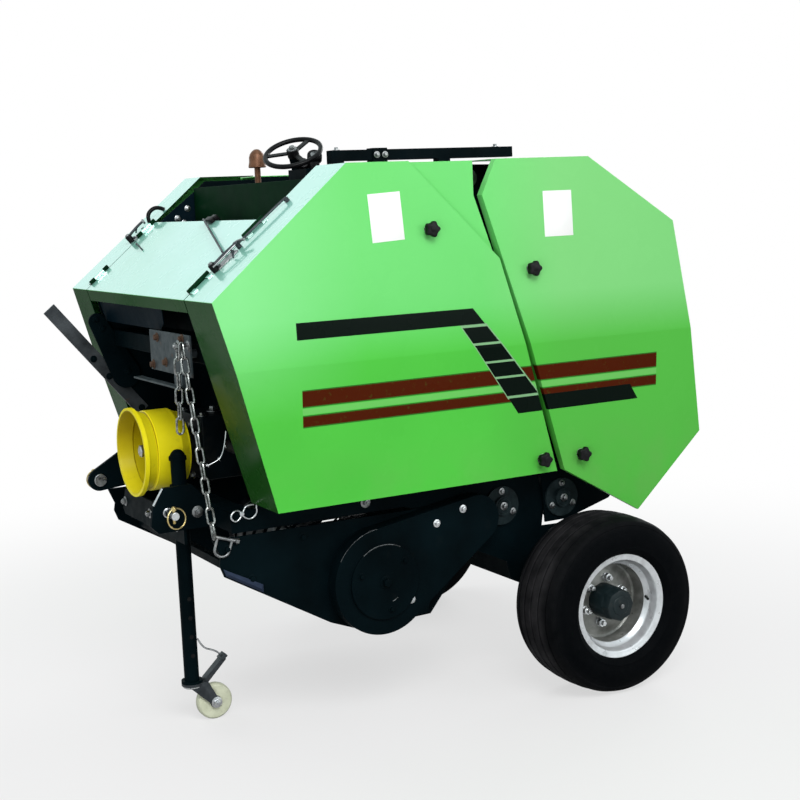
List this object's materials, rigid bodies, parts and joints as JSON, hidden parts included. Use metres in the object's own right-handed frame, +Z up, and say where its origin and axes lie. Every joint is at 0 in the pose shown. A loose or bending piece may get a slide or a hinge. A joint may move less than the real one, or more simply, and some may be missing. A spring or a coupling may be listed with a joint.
{
  "type": "round baler",
  "caption": "Compact tractor-drawn round baler with hinged side covers, lifting tailgate, spring-tine pickup, two wheels and a caster jack.",
  "frame": {"origin": "on the ground under the middle of the overall width and length", "axes": "+X to the machine's left, -Y to the hitch at the front, +Z up"},
  "size_m": [1.374, 1.6903, 1.6386],
  "materials": {
    "green_paint": "bright gloss paint",
    "frame_paint": "satin near-black paint",
    "roller_steel": "dull rolled steel",
    "silver_paint": "silver paint",
    "zinc_steel": "zinc plated",
    "tyre_rubber": "matt",
    "guard_yellow": "satin",
    "knob_black": "satin",
    "nylon_white": "satin",
    "bell_copper": "dull"
  },
  "bodies": {
    "frame": {"side_wall_left": "frame_paint", "side_wall_right": "frame_paint", "upper_panel_left": "green_paint", "upper_panel_right": "green_paint", "axle_beam": "frame_paint", "cross_tubes": "frame_paint", "bulkhead": "frame_paint", "inlet_floor": "frame_paint", "deck": "frame_paint", "pivot_shaft": "frame_paint", "front_rollers": "roller_steel", "front_bearings": "zinc_steel", "nose_panel": "green_paint", "twine_box": "frame_paint", "cross_panel": "green_paint", "twine_gear": "frame_paint", "signal_bell": "bell_copper", "top_bar": "frame_paint", "pto_guard": "guard_yellow", "gearbox": "frame_paint", "cross_shaft": "frame_paint", "hitch_beam": "frame_paint", "lower_link_pins": "zinc_steel", "steel_plate": "zinc_steel", "hand_lever": "zinc_steel", "jack_sleeve": "frame_paint", "lift_chain": "zinc_steel", "guide_plate": "frame_paint", "tension_arm": "frame_paint", "drive_chain": "roller_steel"},
    "tailgate": {"gate_wall_left": "frame_paint", "gate_wall_right": "frame_paint", "gate_rollers": "roller_steel", "gate_bearings": "zinc_steel", "gate_tubes": "frame_paint"},
    "cover_front_left": {"cover_front_left": "green_paint", "knobs_front_left": "knob_black"},
    "cover_front_right": {"cover_front_right": "green_paint", "knobs_front_right": "knob_black"},
    "cover_rear_left": {"cover_rear_left": "green_paint", "knobs_rear_left": "knob_black"},
    "cover_rear_right": {"cover_rear_right": "green_paint", "knobs_rear_right": "knob_black"},
    "wheel_left": {"tyre_left": "tyre_rubber", "rim_left": "silver_paint", "hub_left": "frame_paint"},
    "wheel_right": {"tyre_right": "tyre_rubber", "rim_right": "silver_paint", "hub_right": "frame_paint"},
    "pickup": {"pickup_plate_left": "frame_paint", "pickup_plate_right": "frame_paint", "pickup_bands": "frame_paint", "pickup_tubes": "frame_paint", "pickup_chain_guard": "frame_paint"},
    "pickup_reel": {"pickup_reel": "frame_paint"},
    "jack_leg": {"jack_leg": "frame_paint"},
    "caster_fork": {"caster_fork": "zinc_steel"},
    "caster_wheel": {"caster_wheel": "nylon_white"},
    "pto_shaft": {"pto_shaft": "zinc_steel"},
    "handwheel": {"handwheel": "knob_black"}
  },
  "joints": [
    {"name": "wheel_left_spin", "type": "hinge", "parent": "frame", "child": "wheel_left", "pos_m": [0.582, 0.475, 0.26], "axis": [1, 0, 0], "continuous": true},
    {"name": "wheel_right_spin", "type": "hinge", "parent": "frame", "child": "wheel_right", "pos_m": [-0.582, 0.475, 0.26], "axis": [1, 0, 0], "continuous": true},
    {"name": "tailgate_lift", "type": "hinge", "parent": "frame", "child": "tailgate", "pos_m": [0, 0.147, 1.5], "axis": [1, 0, 0], "range_deg": [0, 60]},
    {"name": "cover_front_left_hinge", "type": "hinge", "parent": "frame", "child": "cover_front_left", "pos_m": [0.4025, -0.70286, 1.22059], "axis": [0, -0.7657, -0.6432], "range_deg": [0, 70]},
    {"name": "cover_front_right_hinge", "type": "hinge", "parent": "frame", "child": "cover_front_right", "pos_m": [-0.4425, -0.70286, 1.22059], "axis": [0, 0.7657, 0.6432], "range_deg": [0, 70]},
    {"name": "cover_rear_left_hinge", "type": "hinge", "parent": "tailgate", "child": "cover_rear_left", "pos_m": [0.4385, 0.75793, 1.35592], "axis": [0, -0.1528, 0.9883], "range_deg": [0, 70]},
    {"name": "cover_rear_right_hinge", "type": "hinge", "parent": "tailgate", "child": "cover_rear_right", "pos_m": [-0.4385, 0.75793, 1.35592], "axis": [0, 0.1528, -0.9883], "range_deg": [0, 70]},
    {"name": "pickup_float", "type": "hinge", "parent": "frame", "child": "pickup", "pos_m": [0, 0.107, 0.54], "axis": [-1, 0, 0], "range_deg": [0, 6], "deforming": ["lift_chain"]},
    {"name": "pickup_reel_spin", "type": "hinge", "parent": "pickup", "child": "pickup_reel", "pos_m": [0, -0.203, 0.41], "axis": [1, 0, 0], "continuous": true},
    {"name": "jack_slide", "type": "slide", "parent": "frame", "child": "jack_leg", "axis": [0, 0, 1], "range_m": [0, 0.2]},
    {"name": "caster_swivel", "type": "hinge", "parent": "jack_leg", "child": "caster_fork", "pos_m": [0.15, -0.653, 0.118], "axis": [0, 0, 1], "continuous": true},
    {"name": "caster_roll", "type": "hinge", "parent": "caster_fork", "child": "caster_wheel", "pos_m": [0.15, -0.591, 0.052], "axis": [1, 0, 0], "continuous": true},
    {"name": "pto_spin", "type": "hinge", "parent": "frame", "child": "pto_shaft", "pos_m": [0, -0.674, 0.77], "axis": [0, 1, 0], "continuous": true},
    {"name": "handwheel_turn", "type": "hinge", "parent": "frame", "child": "handwheel", "pos_m": [0.152, -0.253, 1.592], "axis": [0.3497, -0.3497, 0.8692], "continuous": true}
  ]
}
